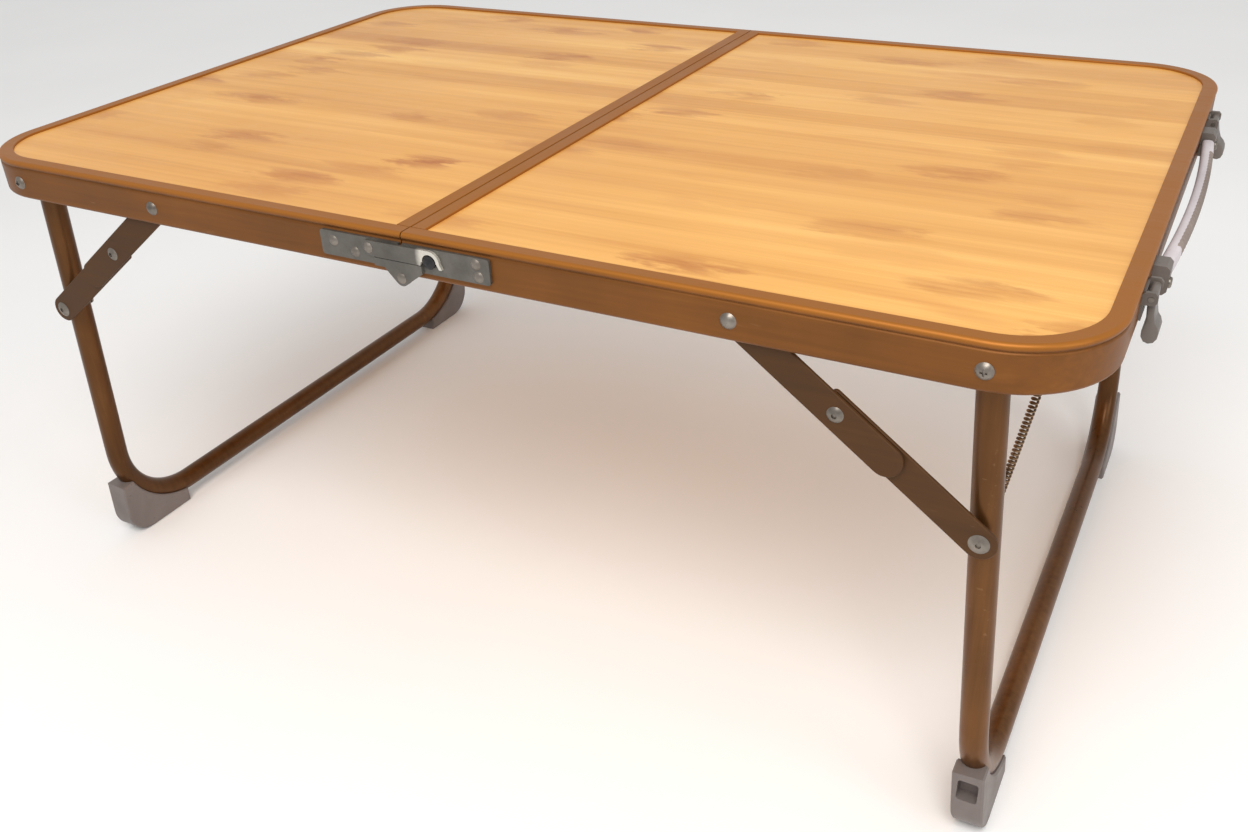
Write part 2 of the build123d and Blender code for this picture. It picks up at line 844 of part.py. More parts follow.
right["elbow_rivets"] = front_and_back(
    headed_pin(
        elbow_x, elbow_z, 3.6, 1.4, upper_link_depth[0],
        [(stay_pivot_radius, upper_link_depth[1]), (3.4, 5.85)],
        "hole",
    )
)
right["elbow_tails"] = front_and_back(
    headed_pin(
        elbow_x, elbow_z, 3.4, 0.4, lower_link_depth[0],
        [(stay_pivot_radius, lower_link_depth[1]), (3.4, 9.3)],
    )
)
right["leg_rivets"] = leg_rivets()
right["spring"] = leg_spring()
right["spring_anchor"] = spring_anchor()

# The left half is a mirror image, but its spring and the closed ends of its feet sit as if
# the half had been turned round: each leg frame has one spring, at opposite corners.
turned = ("leg_rivets", "spring", "spring_anchor")
pieces = {}
for name, piece in right.items():
    pieces["right_" + name] = piece
    image = mirrored(piece, Plane.YZ)
    pieces["left_" + name] = mirrored(image, Plane.XZ) if name in turned else image
pieces["left_front_foot"] = mirrored(mirrored(right["back_foot"], Plane.YZ), Plane.XZ)
pieces["left_back_foot"] = mirrored(mirrored(right["front_foot"], Plane.YZ), Plane.XZ)

# Middle hinges and their catches, front and back
pieces["front_left_leaf"] = left_leaf()
pieces["front_right_leaf"] = right_leaf()
pieces["front_hook"] = hook_lever()
for name in ("left_leaf", "right_leaf", "hook"):
    pieces["back_" + name] = mirrored(pieces["front_" + name], Plane.XZ)
head_face = outer_leaf_depth[0] - 0.1
pieces["hinge_pins"] = front_and_back(
    headed_pin(0, hinge_z, 2.6, 1.0, head_face, [(hinge_pin_radius, inner_leaf_depth[1])])
)
pieces["hook_pins"] = front_and_back(
    headed_pin(*hook_pivot, 2.6, 1.0, head_face, [(catch_pin_radius, wall_outside)])
)
pieces["catch_rollers"] = front_and_back(
    headed_pin(
        *roller_centre, roller_radius, 0.9, outer_leaf_depth[0],
        [(roller_radius - 0.01, outer_leaf_depth[1] + 0.08), (catch_pin_radius, wall_outside)],
    )
)
for side, places in (("left", left_leaf_rivets), ("right", right_leaf_rivets)):
    pieces[side + "_leaf_rivets"] = front_and_back(
        *[headed_pin(x, z, 2.6, 1.1, inner_leaf_depth[0], [(leaf_rivet_radius, wall_outside)])
          for x, z in places]
    )

# Carrying handle and clasps
pieces["handle_grip"] = handle_grip()
pieces["handle_brackets"] = front_and_back(handle_bracket())
pieces["handle_pins"] = front_and_back(handle_pin())
pieces["handle_screws"] = front_and_back(
    rail_screw(-handle_screw_y, handle_pivot[1] - handle_screw_drop,
               half_length - wall_outside, handle_pivot[0] + bracket_reach)
)
pieces["clasp_bases"] = front_and_back(clasp_base())
pieces["clasp_pins"] = front_and_back(clasp_pin())
pieces["front_clasp"] = clasp_lever()
pieces["back_clasp"] = mirrored(clasp_lever(far_clasp_swing), Plane.XZ)
pieces["clasp_keepers"] = front_and_back(clasp_keeper())

for name, piece in pieces.items():
    piece.part.label = name
    export_step(piece.part, f"parts/{name}.step")
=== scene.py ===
import math

import bmesh
import bpy
from mathutils import Matrix, Vector


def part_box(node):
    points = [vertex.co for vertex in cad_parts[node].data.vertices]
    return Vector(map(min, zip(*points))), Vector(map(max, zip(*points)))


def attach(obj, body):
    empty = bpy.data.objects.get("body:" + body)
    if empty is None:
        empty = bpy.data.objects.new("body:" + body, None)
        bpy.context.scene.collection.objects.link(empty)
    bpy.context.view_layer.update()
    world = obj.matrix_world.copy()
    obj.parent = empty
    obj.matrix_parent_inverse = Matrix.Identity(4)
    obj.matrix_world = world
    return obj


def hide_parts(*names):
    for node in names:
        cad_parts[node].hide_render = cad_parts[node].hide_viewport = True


# Looks of a folding tray table with a bamboo-print top in bronze rails.
# Metres, Z up, X along the table with the handle at +X, origin on the floor at the middle.

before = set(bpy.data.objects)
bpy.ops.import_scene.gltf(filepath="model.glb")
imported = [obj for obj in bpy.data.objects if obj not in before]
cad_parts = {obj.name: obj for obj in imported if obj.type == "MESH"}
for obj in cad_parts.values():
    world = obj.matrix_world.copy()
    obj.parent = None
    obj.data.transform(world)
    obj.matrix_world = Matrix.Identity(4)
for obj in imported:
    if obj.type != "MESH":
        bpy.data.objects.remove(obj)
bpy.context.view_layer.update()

mm = 0.001

# Places shared with the frame. The spring's are those of the back right corner.
spring_anchor = Vector((277.0, 170.0, 250.0)) * mm
spring_rivet = Vector((263.546, 170.0, 168.694)) * mm
clasp_pivot = Vector((303.2, 118.0, 252.6)) * mm
clasp_width = 13.0 * mm
far_clasp_swing = 10.0  # degrees outward
handle_pivot = Vector((303.4, 0, 250.4)) * mm
handle_half_span = 86.0 * mm

two_ends = ("right_", "left_")
two_sides = ("front_", "back_")


# ---------------------------------------------------------------- materials

class Nodes:
    """A material's node tree, with short calls for the nodes that the finishes share."""

    def __init__(self, name):
        self.material = bpy.data.materials.new(name)
        self.material.use_nodes = True
        self.tree = self.material.node_tree
        self.shader = self.tree.nodes["Principled BSDF"]
        self.place = self.tree.nodes.new("ShaderNodeTexCoord").outputs["Object"]

    def feed(self, socket, value):
        """Link another node's output to this socket, or set the socket to a plain value."""
        if isinstance(value, bpy.types.NodeSocket):
            self.tree.links.new(value, socket)
        else:
            socket.default_value = (*value, 1) if socket.type == "RGBA" else value

    def add(self, kind, inputs=None, **settings):
        node = self.tree.nodes.new(kind)
        for key, value in settings.items():
            setattr(node, key, value)
        for key, value in (inputs or {}).items():
            self.feed(node.inputs[key], value)
        return node

    def axes(self):
        """The place's X, Y and Z, each on its own."""
        return self.add("ShaderNodeSeparateXYZ", {"Vector": self.place}).outputs

    def mapping(self, scale, turn=(0, 0, 0), shift=(0, 0, 0)):
        """The place, stretched by a scale for each axis. A larger scale is a finer pattern."""
        node = self.add(
            "ShaderNodeMapping",
            {"Vector": self.place, "Scale": scale, "Rotation": turn, "Location": shift},
        )
        return node.outputs["Vector"]

    def noise(self, scale, detail=4.0, roughness=0.55, vector=None, distortion=0.0):
        node = self.add(
            "ShaderNodeTexNoise",
            {"Vector": vector or self.place, "Scale": scale, "Detail": detail,
             "Roughness": roughness, "Distortion": distortion},
        )
        return node.outputs["Fac"]

    def spread(self, value, low, high, to_low=0.0, to_high=1.0):
        """The value's range from low to high, carried over to another range."""
        node = self.add(
            "ShaderNodeMapRange",
            {"Value": value, "From Min": low, "From Max": high,
             "To Min": to_low, "To Max": to_high},
        )
        return node.outputs["Result"]

    def ramp(self, value, stops):
        node = self.add("ShaderNodeValToRGB", {"Fac": value})
        band = node.color_ramp
        while len(band.elements) < len(stops):
            band.elements.new(0.5)
        for element, (place, colour) in zip(band.elements, stops):
            element.position = place
            element.color = (*colour, 1)
        return node.outputs["Color"]

    def mix(self, amount, first, second):
        node = self.add("ShaderNodeMix", data_type="RGBA", blend_type="MIX")
        # A mix node has a set of sockets for each kind of data. The two colours are 6 and 7.
        for index, value in ((0, amount), (6, first), (7, second)):
            self.feed(node.inputs[index], value)
        return node.outputs[2]

    def arithmetic(self, operation, first, second=0.0, clamp=False):
        node = self.add("ShaderNodeMath", operation=operation, use_clamp=clamp)
        self.feed(node.inputs[0], first)
        self.feed(node.inputs[1], second)
        return node.outputs[0]

    def plus(self, first, second):
        return self.arithmetic("ADD", first, second)

    def minus(self, first, second):
        return self.arithmetic("SUBTRACT", first, second)

    def times(self, first, second, clamp=False):
        return self.arithmetic("MULTIPLY", first, second, clamp)

    def power(self, value, exponent):
        return self.arithmetic("POWER", value, exponent)

    def bump(self, height, strength, distance, under=None):
        """Surface relief from a height, on top of a coarser relief where one is given."""
        inputs = {"Height": height, "Strength": strength, "Distance": distance}
        if under is not None:
            inputs["Normal"] = under
        return self.add("ShaderNodeBump", inputs).outputs["Normal"]

    def finish(self, colour, roughness, normal=None, **constants):
        self.feed(self.shader.inputs["Base Color"], colour)
        self.feed(self.shader.inputs["Roughness"], roughness)
        if normal is not None:
            self.feed(self.shader.inputs["Normal"], normal)
        for name, value in constants.items():
            self.shader.inputs[name.replace("_", " ")].default_value = value
        return self.material


def linear(red, green, blue):
    """A colour given as 0 to 255 in sRGB, as the linear colour that a shader takes."""
    parts = (red / 255, green / 255, blue / 255)
    return tuple(
        part / 12.92 if part <= 0.04045 else ((part + 0.055) / 1.055) ** 2.4 for part in parts
    )


def bamboo_print():
    """Satin bamboo-strip print: long fine grain, strip tones and soft smeared node marks."""
    n = Nodes("bamboo_print")
    strip_width, edge_wander = 0.021, 0.004
    node_spacing, node_smear, node_share = 0.125, 0.55, 0.75
    node_colour, fleck_colour = linear(172, 100, 38), linear(196, 124, 56)
    body_stops = [
        (0.0, linear(203, 141, 68)),
        (0.35, linear(218, 158, 80)),
        (0.65, linear(229, 171, 91)),
        (1.0, linear(240, 190, 110)),
    ]
    place = n.axes()
    # Strips run along the table, with edges that wander a little
    wobble = n.noise(5.0, 2.0, 0.5, n.mapping((0.8, 1, 1)))
    wander = n.spread(wobble, 0, 1, -edge_wander, edge_wander)
    strip = n.times(n.plus(place["Y"], wander), 1 / strip_width)
    row = n.arithmetic("FLOOR", strip)
    row_tone = n.add("ShaderNodeTexWhiteNoise", {"W": row}, noise_dimensions="1D").outputs["Value"]
    # Fine fibres and broader streaks, all long along X, and each one's share of the tone
    fibre = n.noise(1.0, 6.0, 0.62, n.mapping((6, 460, 60)), 0.1)
    streak = n.noise(1.0, 4.0, 0.55, n.mapping((3.0, 95, 30)), 0.25)
    drift = n.noise(1.0, 3.0, 0.5, n.mapping((2.0, 17, 8)), 0.3)
    cloud = n.noise(1.0, 2.0, 0.5, n.mapping((3.2, 4.5, 4)), 0.2)
    layers = ((fibre, 0.15), (streak, 0.20), (drift, 0.30), (cloud, 0.24), (row_tone, 0.11))
    tone = 0.0
    for layer, share in layers:
        tone = n.plus(n.times(layer, share), tone)
    body = n.ramp(n.spread(tone, 0.37, 0.63), body_stops)
    # Node marks: one in most lengths of a strip, placed by that length's own random shift
    ragged = n.noise(1.0, 4.0, 0.65, n.mapping((34, 120, 20)))
    smear = n.spread(ragged, 0, 1, -node_smear, node_smear)
    along = n.plus(n.times(place["X"], 1 / node_spacing), n.times(row_tone, 9.3))
    length = n.arithmetic("FLOOR", along)
    cell = n.add("ShaderNodeCombineXYZ", {"X": length, "Y": row, "Z": 0.0}).outputs["Vector"]
    chance = n.add("ShaderNodeTexWhiteNoise", {"Vector": cell}, noise_dimensions="2D")
    shift = n.add("ShaderNodeSeparateColor", {"Color": chance.outputs["Color"]}).outputs
    centre = n.spread(shift["Red"], 0, 1, 0.25, 0.75)
    shortness = n.spread(shift["Blue"], 0, 1, 3.4, 6.5)
    across = n.minus(n.plus(n.arithmetic("FRACT", strip), smear), 0.5)
    beside = n.minus(n.plus(n.arithmetic("FRACT", along), n.times(smear, 0.6)), centre)
    distance = n.plus(
        n.power(n.times(beside, shortness), 2.0), n.power(n.times(across, 1.75), 2.0)
    )
    blot = n.power(n.spread(distance, 0.0, 1.0, 1.0, 0.0), 1.3)
    strength = n.times(blot, n.spread(shift["Green"], 0.40, 0.9, 0.0, 1.0))
    fibrous = n.times(strength, n.spread(streak, 0.35, 0.65, 0.35, 1.3))
    marked = n.mix(n.times(fibrous, node_share, clamp=True), body, node_colour)
    # Short darker flecks between the nodes
    fleck_noise = n.noise(1.0, 2.0, 0.5, n.mapping((11, 62, 20), shift=(0.7, 0.2, 0)), 0.2)
    fleck = n.spread(fleck_noise, 0.60, 0.78, 0.0, 0.40)
    flecked = n.mix(fleck, marked, fleck_colour)
    # Rubbed patches and fingerprints in the gloss, and a faint relief of the grain
    rub_and_painted_highlight = n.noise(9.0, 5.0, 0.65)
    prints = n.noise(70.0, 3.0, 0.6, n.mapping((1, 1.6, 1)))
    gloss = n.plus(
        n.spread(rub_and_painted_highlight, 0.3, 0.75, 0.30, 0.42), n.spread(prints, 0.35, 0.7, 0.0, 0.06)
    )
    relief = n.bump(fibre, 0.05, 0.0004, n.bump(n.noise(14.0, 2.0), 0.05, 0.002))
    return n.finish(
        flecked, gloss, relief, Coat_Weight=0.08, Coat_Roughness=0.15, Specular_IOR_Level=0.22
    )


def bronze(name, colours, along, gloss, metallic, brushed=0.22, painted_light_band=None):
    """Bronze anodised metal: tone drift, brushing along one direction, dulled wear and scuffs.

    Colours are dark, middle and bright. The band gives a lower and an upper height, the up-facing
    top of the rail's lip, between which the colour is painted lighter: painted light, as the lip
    gets more light than the sides.
    """
    n = Nodes(name)
    dark, middle, bright = colours
    painted_light_colour, scuff_colour = linear(168, 104, 34), linear(206, 168, 128)
    brush_across, brush_along = 260.0, 9.0
    stretch = [brush_across] * 3
    stretch["XYZ".index(along)] = brush_along
    brush = n.noise(1.0, 5.0, 0.6, n.mapping(tuple(stretch)))
    patch = n.noise(16.0, 4.0, 0.6)
    broad = n.noise(5.0, 2.0, 0.5)
    tone = n.plus(n.plus(n.times(brush, 0.30), n.times(patch, 0.34)), n.times(broad, 0.36))
    colour = n.ramp(n.spread(tone, 0.34, 0.68), [(0.0, dark), (0.5, middle), (1.0, bright)])
    # Painted light: the up-facing top of the lip is painted lighter and more orange
    if painted_light_band:
        ragged = n.plus(n.axes()["Z"], n.spread(patch, 0, 1, -0.0006, 0.0006))
        colour = n.mix(n.spread(ragged, *painted_light_band, 0.0, 0.8), colour, painted_light_colour)
    # Scuffs: sparse pale scratches where the finish has been rubbed
    scratch = n.noise(1.0, 2.0, 0.5, n.mapping((60, 900, 420), turn=(0.2, 0.3, 0.5)))
    scuff_area = n.spread(n.noise(28.0, 3.0, 0.6), 0.58, 0.72)
    scuff = n.times(n.spread(scratch, 0.66, 0.72), scuff_area)
    scuffed = n.mix(n.times(scuff, 0.12), colour, scuff_colour)
    rough = n.plus(
        n.spread(patch, 0.3, 0.7, gloss - 0.05, gloss + 0.08),
        n.spread(brush, 0.3, 0.7, -0.03, 0.05),
    )
    relief = n.bump(brush, brushed, 0.00012, n.bump(patch, 0.08, 0.0006))
    return n.finish(scuffed, rough, relief, Metallic=metallic, Specular_IOR_Level=0.3)


def plated(name, dark, bright, rough, metallic=0.9, rub_and_painted_highlight=None):
    """Plated or pressed steel: cloudy plating, fine pitting, tarnish and dull spots.

    The span gives a start and an end along X between which the metal is painted pale and glossier:
    a painted highlight on the hook's curled end.
    """
    n = Nodes(name)
    stain_colour, painted_highlight_colour = linear(92, 84, 76), linear(205, 200, 190)
    cloud = n.noise(90.0, 4.0, 0.6)
    pit = n.noise(900.0, 3.0, 0.6)
    tarnish = n.spread(n.noise(160.0, 5.0, 0.7), 0.5, 0.72)
    colour = n.ramp(n.spread(cloud, 0.3, 0.7), [(0.0, dark), (1.0, bright)])
    surface = n.mix(n.times(tarnish, 0.45), colour, stain_colour)
    roughness = n.plus(
        n.spread(cloud, 0.3, 0.7, rough - 0.06, rough + 0.08), n.times(tarnish, 0.12)
    )
    # Painted highlight: a pale, glossier band across the hook's curled end
    if rub_and_painted_highlight:
        ragged = n.plus(n.axes()["X"], n.spread(cloud, 0, 1, -0.0015, 0.0015))
        painted_highlight = n.spread(ragged, *rub_and_painted_highlight)
        surface = n.mix(painted_highlight, surface, painted_highlight_colour)
        roughness = n.plus(roughness, n.spread(painted_highlight, 0, 1, 0.0, -0.2))
    relief = n.bump(pit, 0.16, 0.00008, n.bump(cloud, 0.12, 0.0003))
    return n.finish(surface, roughness, relief, Metallic=metallic)


def moulded(name, dark, bright, rough, speck=linear(70, 64, 62)):
    """Moulded plastic: faint flow marks, spark-eroded grain, specks of dust and rubbed gloss."""
    n = Nodes(name)
    flow = n.noise(26.0, 4.0, 0.6, distortion=0.6)
    grain = n.noise(1500.0, 2.0, 0.5)
    rub = n.noise(70.0, 4.0, 0.6)
    colour = n.ramp(n.spread(flow, 0.3, 0.7), [(0.0, dark), (1.0, bright)])
    dust = n.spread(n.noise(420.0, 3.0, 0.65), 0.62, 0.74, 0.0, 0.4)
    dusty = n.mix(dust, colour, speck)
    roughness = n.plus(
        n.spread(rub, 0.3, 0.7, rough - 0.09, rough + 0.08), n.spread(grain, 0.3, 0.7, 0.0, 0.05)
    )
    relief = n.bump(grain, 0.22, 0.00009, n.bump(flow, 0.10, 0.0006))
    return n.finish(dusty, roughness, relief, Specular_IOR_Level=0.45)


rail_colours = (linear(98, 59, 23), linear(119, 73, 29), linear(143, 90, 39))
# Heights of the top face of the rail's lip, painted lighter as painted light
rail_painted_light_band = (0.2572, 0.2590)
tube_colours = (linear(75, 47, 22), linear(95, 61, 30), linear(121, 80, 43))
link_colours = (linear(66, 42, 19), linear(79, 51, 25), linear(94, 61, 31))
pressed_steel = (linear(84, 81, 76), linear(108, 104, 98))
# Span along X of the hook's curled end, painted as a highlight
hook_tip_painted_highlight = (0.0095, 0.0125)

finishes = {
    "printed_board": bamboo_print(),
    "bronze_rail": bronze("rail_bronze", rail_colours, "X", 0.42, 0.45, painted_light_band=rail_painted_light_band),
    "end_rail": bronze("seam_bronze", rail_colours, "Y", 0.46, 0.4, painted_light_band=rail_painted_light_band),
    "bronze_tube": bronze("tube_bronze", tube_colours, "Z", 0.32, 0.6),
    "bronze_link": bronze("link_bronze", link_colours, "X", 0.56, 0.3, brushed=0.14),
    "plated_steel": plated("bolt_zinc", linear(104, 98, 91), linear(148, 140, 131), 0.36),
    "spring_steel": plated("spring_wire", linear(96, 74, 54), linear(142, 114, 86), 0.36),
    "hinge_steel": plated("hinge_zinc", *pressed_steel, 0.44, 0.5),
    "roller_steel": plated("roller_black", linear(40, 40, 42), linear(62, 61, 62), 0.34),
    "hook_steel": plated("hook_zinc", *pressed_steel, 0.42, 0.6, rub_and_painted_highlight=hook_tip_painted_highlight),
    "foot_plastic": moulded("foot_moulding", linear(106, 96, 92), linear(126, 116, 112), 0.46),
    "handle_plastic": moulded(
        "handle_moulding", linear(186, 178, 182), linear(206, 198, 201), 0.42,
        speck=linear(140, 132, 134),
    ),
    # Darker copy of the grip plastic for its outer face: painted shade
    "grip_painted_shade": moulded("grip_painted_shade", linear(118, 104, 96), linear(142, 128, 120), 0.5),
    "clasp_plastic": moulded("clasp_moulding", linear(88, 80, 74), linear(110, 101, 95), 0.38),
}


# ------------------------------------------------------------ finishes on the CAD nodes

def paint(finish, *names):
    """Put a finish in every material slot of these CAD nodes."""
    for name in names:
        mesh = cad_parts[name].data
        if not mesh.materials:
            mesh.materials.append(finishes[finish])
        for index in range(len(mesh.materials)):
            mesh.materials[index] = finishes[finish]


for end in two_ends:
    paint("printed_board", end + "board")
    paint("bronze_rail", end + "rail")
    paint("end_rail", end + "seam_rail")
    paint("bronze_tube", end + "leg")
    paint("plated_steel", end + "board_clips", end + "leg_bolts", end + "leg_nuts")
    paint("plated_steel", end + "stay_rail_rivets", end + "elbow_rivets", end + "elbow_tails")
    paint("plated_steel", end + "leg_rivets", end + "spring_anchor")
    paint("foot_plastic", end + "leg_spacers")
    for side in two_sides:
        paint("foot_plastic", end + side + "foot")
        paint("bronze_link", end + side + "upper_link", end + side + "lower_link")
for side in two_sides:
    paint("hinge_steel", side + "left_leaf", side + "right_leaf")
    paint("hook_steel", side + "hook")
paint("plated_steel", "hinge_pins", "hook_pins", "left_leaf_rivets", "right_leaf_rivets")
paint("plated_steel", "handle_pins", "handle_screws", "clasp_pins")
paint("roller_steel", "catch_rollers")
paint("handle_plastic", "handle_grip")
paint("clasp_plastic", "handle_brackets", "clasp_bases", "clasp_keepers")
paint("clasp_plastic", "front_clasp", "back_clasp")


# ------------------------------------------------------------ new pieces

def object_of(name, mesh_builder, material, body, slot_name, *nodes):
    """A finished piece from its bmesh: rides a body and stands for CAD nodes; the slot name is not
    used.
    """
    mesh = bpy.data.meshes.new(name)
    mesh_builder.to_mesh(mesh)
    mesh_builder.free()
    mesh.materials.append(material)
    piece = bpy.data.objects.new(name, mesh)
    bpy.context.scene.collection.objects.link(piece)
    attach(piece, body)
    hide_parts(*nodes)
    return piece


def smooth_outward(bm):
    """Turn every face outward and shade it smooth."""
    bmesh.ops.recalc_face_normals(bm, faces=bm.faces)
    for face in bm.faces:
        face.smooth = True


coil_radius = 1.8 * mm
wire_radius = 0.5 * mm
wire_sides = 6
coil_start = 9.0 * mm
coil_turns = 34
steps_per_turn = 14
lead_bend = 1.0 * mm
eye_radius = 1.95 * mm
eye_angle = math.radians(330)
eye_steps = 20
lead_short = 0.6 * mm


def wire_ring(bm, centre, first, second):
    """The edges of a small ring of wire round a centre, in the plane of two directions."""
    made = bmesh.ops.create_circle(bm, cap_ends=False, segments=wire_sides, radius=wire_radius)
    verts = made["verts"]
    turn = Matrix((first, second, first.cross(second))).transposed().to_4x4()
    bmesh.ops.transform(bm, matrix=Matrix.Translation(centre) @ turn, verts=verts)
    return [edge for edge in bm.edges if edge.verts[0] in verts and edge.verts[1] in verts]


def close_ends(bm, *rings):
    for ring in rings:
        bmesh.ops.holes_fill(bm, edges=ring, sides=wire_sides)


def spun(bm, edges, centre, axis, angle, steps, rise=Vector((0, 0, 0))):
    """Spin the open ring of edges, and give the ring at the far end."""
    verts = list(dict.fromkeys(vert for edge in edges for vert in edge.verts))
    made = bmesh.ops.spin(
        bm, geom=verts + edges, cent=centre, axis=axis, dvec=rise, angle=angle, steps=steps,
        use_merge=False,
    )["geom_last"]
    return [item for item in made if isinstance(item, bmesh.types.BMEdge)]


def coil_spring(bm, top, bottom, side):
    """Close-wound spring with a straight lead and an open eye round the pin at each end."""
    axis = (bottom - top).normalized()
    across = Vector((0, side, 0))
    out = axis.cross(across).normalized()
    coil_length = (bottom - top).length - 2 * coil_start
    coil_steps = steps_per_turn * coil_turns
    # The coil, wound by a spin that climbs as it turns
    coil_centre = top + axis * coil_start
    start = coil_centre + out * (coil_radius - wire_radius)
    ring = wire_ring(bm, start, out, axis)
    last = spun(
        bm, ring, coil_centre, axis, 2 * math.pi * coil_turns, coil_steps,
        axis * (coil_length / coil_steps),
    )
    close_ends(bm, last, ring)
    # A lead from each end of the coil to its eye, then the eye round the pin
    for pin, way, near in ((top, 1, start), (bottom, -1, start + axis * coil_length)):
        lead_end = pin + axis * way * eye_radius
        lead = [
            near - axis * way * wire_radius,
            pin + axis * way * (coil_start - lead_bend),
            lead_end + axis * way * lead_short,
        ]
        rings = [wire_ring(bm, place, out, across) for place in lead]
        for low, high in zip(rings, rings[1:]):
            bmesh.ops.bridge_loops(bm, edges=low + high)
        close_ends(bm, rings[0], rings[-1])
        eye_ring = wire_ring(bm, lead_end, axis, across)
        eye_last = spun(bm, eye_ring, pin, across, eye_angle, eye_steps)
        close_ends(bm, eye_ring, eye_last)


def leg_spring(end):
    """The one spring of a leg: at the front on the right half, at the back on the left."""
    bm = bmesh.new()
    side = -1 if end == "right_" else 1
    across = Vector((-side, side, 1))
    coil_spring(bm, spring_anchor * across, spring_rivet * across, side)
    smooth_outward(bm)
    return object_of(
        end + "coil_spring", bm, finishes["spring_steel"], end + "spring_body", "spring_steel",
        end + "spring",
    )


for end in two_ends:
    leg_spring(end)


def clasp(name, body, node, side, swing):
    """Clasp lever: a moulded tongue round the pin, swelling to a rounded thumb bulb."""
    bm = bmesh.new()
    side_gap, rim_round = 0.05 * mm, 0.75 * mm
    same_place = 1e-7
    # Outline from the pin, out along X and up along Z, in millimetres
    profile = [
        (-1.9, 0.0), (-1.62, 1.1), (-0.95, 1.72), (0.0, 1.9), (0.95, 1.72), (1.62, 1.1),
        (1.85, 0.0), (1.75, -3.0), (1.95, -7.0), (2.7, -10.6), (4.1, -12.6), (4.87, -14.8),
        (4.72, -17.2), (3.6, -19.1), (1.7, -19.75), (-0.2, -19.1), (-1.35, -17.2),
        (-1.5, -14.8), (-1.0, -12.4), (-0.7, -9.0), (-1.2, -4.0),
    ]
    half = clasp_width / 2 - side_gap
    verts = [bm.verts.new((x * mm, -half, z * mm)) for x, z in profile]
    outline = bm.faces.new(verts)
    grown = bmesh.ops.extrude_face_region(bm, geom=[outline])["geom"]
    bmesh.ops.translate(
        bm, vec=(0, 2 * half, 0), verts=[v for v in grown if isinstance(v, bmesh.types.BMVert)]
    )
    bmesh.ops.recalc_face_normals(bm, faces=bm.faces)
    rims = [e for e in bm.edges if abs(e.verts[0].co.y - e.verts[1].co.y) < same_place]
    bmesh.ops.bevel(
        bm, geom=rims, offset=rim_round, segments=3, profile=0.5, affect="EDGES", material=-1
    )
    turn = Matrix.Rotation(math.radians(-swing), 4, "Y")
    place = Matrix.Translation((clasp_pivot.x, side * clasp_pivot.y, clasp_pivot.z))
    bmesh.ops.transform(bm, matrix=place @ turn, verts=bm.verts)
    for face in bm.faces:
        face.smooth = True
    return object_of(name, bm, finishes["clasp_plastic"], body, "clasp_plastic", node)


clasp("front_clasp_lever", "front_clasp_body", "front_clasp", -1, 0.0)
clasp("back_clasp_lever", "back_clasp_body", "back_clasp", 1, far_clasp_swing)


def handle_grip():
    """Grip bar: bowed outward, its outer face ribbed for the fingers, ends plain and rounded."""
    thickness, height = 6.0 * mm, 7.2 * mm
    section_sides, corner_fullness = 20, 0.62
    bow, bar_steps = 3.6 * mm, 156
    rib_pitch, rib_depth, rib_reach = 4.4 * mm, 0.8 * mm, 66.0 * mm
    rib_start, painted_shade_start = 0.2, 0.12
    end_length, end_shrink = 3 * mm, 0.6
    low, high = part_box("handle_grip")[0].z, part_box("handle_grip")[1].z
    middle = (low + high) / 2
    bm = bmesh.new()
    # Round-cornered section, standing across the bar
    section = bmesh.ops.create_circle(
        bm, cap_ends=False, segments=section_sides, radius=1.0
    )["verts"]
    for vert in section:
        x, z = vert.co.x, vert.co.y
        square = max(abs(x), abs(z)) ** corner_fullness
        vert.co = Vector((x / square * thickness / 2, 0, z / square * height / 2))
    bmesh.ops.translate(bm, vec=(handle_pivot.x, -handle_half_span, middle), verts=bm.verts)
    # The section, drawn out along the bar step by step
    current = bm.edges[:]
    for _ in range(bar_steps):
        made = bmesh.ops.extrude_edge_only(bm, edges=current)["geom"]
        current = [item for item in made if isinstance(item, bmesh.types.BMEdge)]
        verts = {vert for edge in current for vert in edge.verts}
        bmesh.ops.translate(bm, vec=(0, 2 * handle_half_span / bar_steps, 0), verts=list(verts))
    open_edges = [edge for edge in bm.edges if edge.is_boundary]
    bmesh.ops.holes_fill(bm, edges=open_edges, sides=2 * section_sides)
    # Ribs, bow and rounded ends
    for vert in bm.verts:
        y = vert.co.y
        out = (vert.co.x - handle_pivot.x) / (thickness / 2)
        if abs(y) < rib_reach and out > rib_start:
            wave = 0.5 - 0.5 * math.cos(2 * math.pi * y / rib_pitch)
            vert.co.x -= rib_depth * wave * min(1.0, out)
        vert.co.x += bow * (1 - (y / handle_half_span) ** 2)
        end = (abs(y) - (handle_half_span - end_length)) / end_length
        if end > 0:
            shrink = math.sqrt(max(0.0, 1 - (end * end_shrink) ** 2))
            vert.co.x = handle_pivot.x + (vert.co.x - handle_pivot.x) * shrink
            vert.co.z = middle + (vert.co.z - middle) * shrink
    smooth_outward(bm)
    # The ribbed outer face takes a darker copy of the grip plastic: painted shade, as this face is
    # turned from the light
    for face in bm.faces:
        centre = face.calc_center_median()
        lean = centre.x - handle_pivot.x - bow * (1 - (centre.y / handle_half_span) ** 2)
        if lean > painted_shade_start * thickness and abs(centre.y) < rib_reach:
            face.material_index = 1
    grip = object_of(
        "ribbed_grip", bm, finishes["handle_plastic"], "handle", "handle_plastic", "handle_grip"
    )
    grip.data.materials.append(finishes["grip_painted_shade"])
    return grip


handle_grip()


# ------------------------------------------------------------ room, light and camera

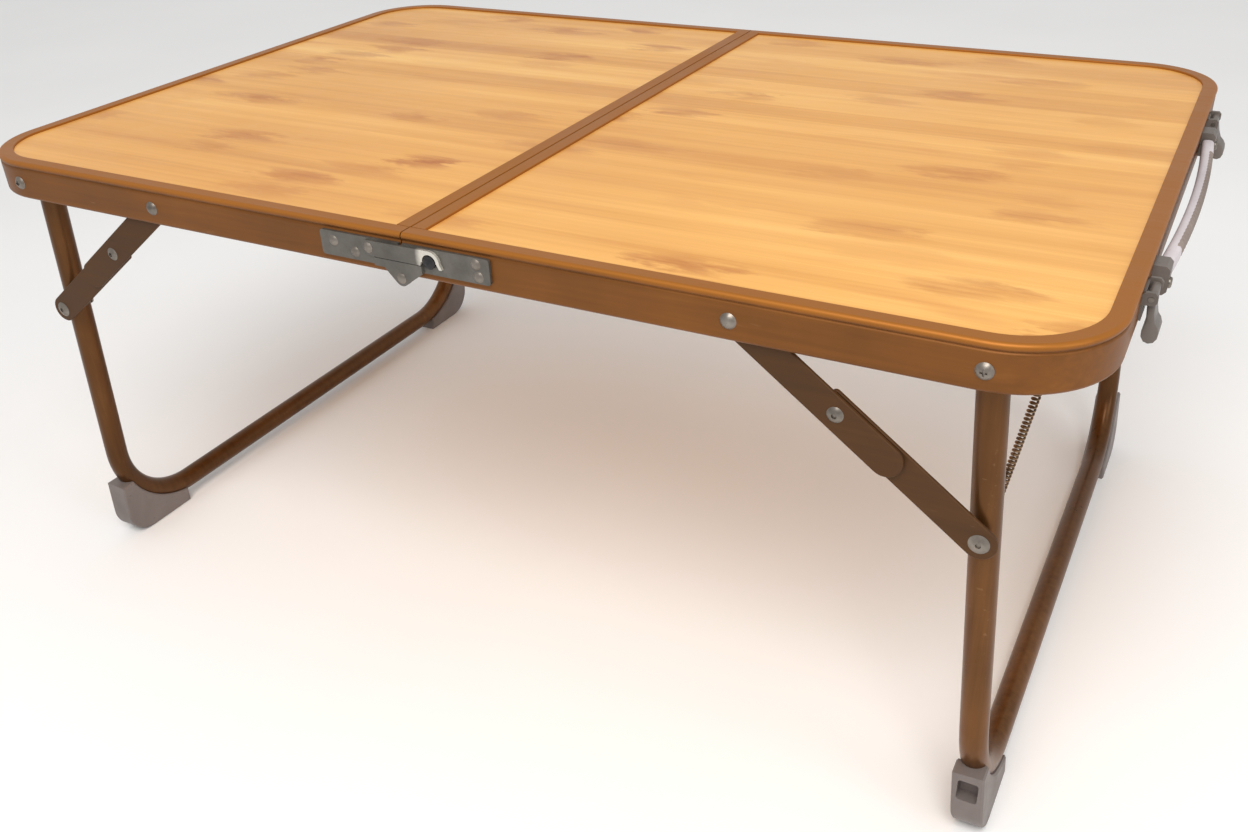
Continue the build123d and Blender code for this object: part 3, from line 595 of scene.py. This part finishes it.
def plain_stage():
    """Pale, faintly mottled floor, far wider than the table."""
    half_width = 6.0
    bm = bmesh.new()
    bmesh.ops.create_grid(bm, x_segments=1, y_segments=1, size=half_width)
    mesh = bpy.data.meshes.new("floor")
    bm.to_mesh(mesh)
    bm.free()
    n = Nodes("floor_paint")
    tone = n.ramp(
        n.spread(n.noise(3.0, 3.0, 0.5), 0.3, 0.7),
        [(0.0, (0.92, 0.92, 0.92)), (1.0, (0.95, 0.95, 0.95))],
    )
    n.finish(tone, n.spread(n.noise(20.0, 3.0), 0.3, 0.7, 0.82, 0.9))
    mesh.materials.append(n.material)
    floor = bpy.data.objects.new("floor", mesh)
    bpy.context.scene.collection.objects.link(floor)


warm_white = (1.0, 0.98, 0.95)


def soft_light(name, place, aim, size, power):
    """A broad area light aimed at a point."""
    light = bpy.data.lights.new(name, "AREA")
    light.shape = "RECTANGLE"
    light.size, light.size_y = size
    light.energy = power
    light.color = warm_white
    lamp = bpy.data.objects.new(name, light)
    lamp.location = place
    lamp.rotation_euler = (Vector(aim) - Vector(place)).to_track_quat("-Z", "Y").to_euler()
    bpy.context.scene.collection.objects.link(lamp)


def studio_world():
    """Even pale light from all round."""
    world = bpy.data.worlds.new("studio")
    world.use_nodes = True
    background = world.node_tree.nodes["Background"].inputs
    background["Color"].default_value = (1.0, 0.995, 0.99, 1)
    background["Strength"].default_value = 0.70
    bpy.context.scene.world = world


def table_camera():
    """Camera at the front right corner, looking down across the top."""
    place = Vector((326.82, -583.258, 456.2)) * mm
    right = Vector((0.88086, 0.47179, -0.03881))
    up = Vector((-0.21319, 0.46858, 0.85731))
    turn = Matrix((right, up, right.cross(up))).transposed().to_4x4()
    camera = bpy.data.objects.new("camera", bpy.data.cameras.new("camera"))
    camera.data.sensor_width = 36.0
    camera.data.lens = 34.208
    camera.data.clip_start = 0.01
    camera.matrix_world = Matrix.Translation(place) @ turn
    bpy.context.scene.collection.objects.link(camera)
    bpy.context.scene.camera = camera


plain_stage()
soft_light("key", (0.35, -0.95, 1.35), (0.1, -0.15, 0.25), (0.9, 0.7), 15.0)
soft_light("side", (1.5, -0.5, 0.7), (0.3, -0.1, 0.2), (0.5, 0.8), 3.0)
bpy.context.scene.view_settings.view_transform = "Standard"
studio_world()
table_camera()
